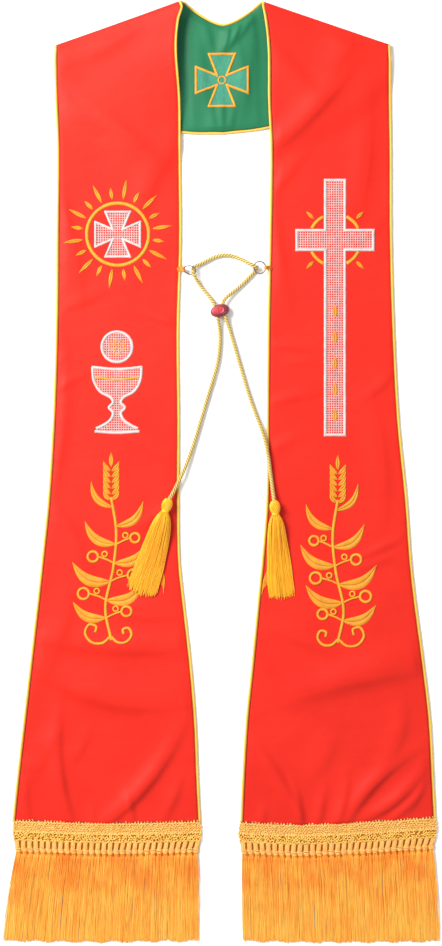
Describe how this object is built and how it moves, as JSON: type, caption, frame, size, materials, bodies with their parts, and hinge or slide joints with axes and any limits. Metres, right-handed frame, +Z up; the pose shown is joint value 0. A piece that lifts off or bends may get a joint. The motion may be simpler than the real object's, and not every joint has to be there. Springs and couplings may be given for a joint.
{
  "type": "clerical stole",
  "caption": "Long cloth stole laid flat, folded at the shoulders, with piped edges, fringed hems and a tasselled cord with a slider bead joining the bands.",
  "frame": {"origin": "on the surface that the stole lies on, under the middle of its outline without the cord", "axes": "+X to the right as seen from above with the neck away, +Y from the hems to the neck, +Z up off the surface"},
  "size_m": [0.6042, 1.3045, 0.0172],
  "materials": {
    "red_satin": "soft satin weave with a low sheen",
    "green_satin": "smooth lining satin",
    "gold_piping": "glossy satin piping",
    "gold_silk": "silky threads",
    "orange_thread": "wound thread",
    "pale_cord": "twisted cord",
    "ring_wire": "dull bronze wire",
    "bead_red": "painted, slightly mottled"
  },
  "bodies": {
    "root": {"face_left": "red_satin", "face_right": "red_satin", "lining_neck": "green_satin", "piping_neck": "gold_piping", "piping_outer": "gold_piping", "fringe_left": "gold_silk", "fringe_right": "gold_silk", "thread_loop_left": "orange_thread", "thread_loop_right": "orange_thread", "ring_left": "ring_wire", "ring_right": "ring_wire", "cord_arc": "pale_cord", "cord_left": "pale_cord", "cord_right": "pale_cord", "bead": "bead_red", "tassel_left": "gold_silk", "tassel_right": "gold_silk"}
  },
  "joints": []
}
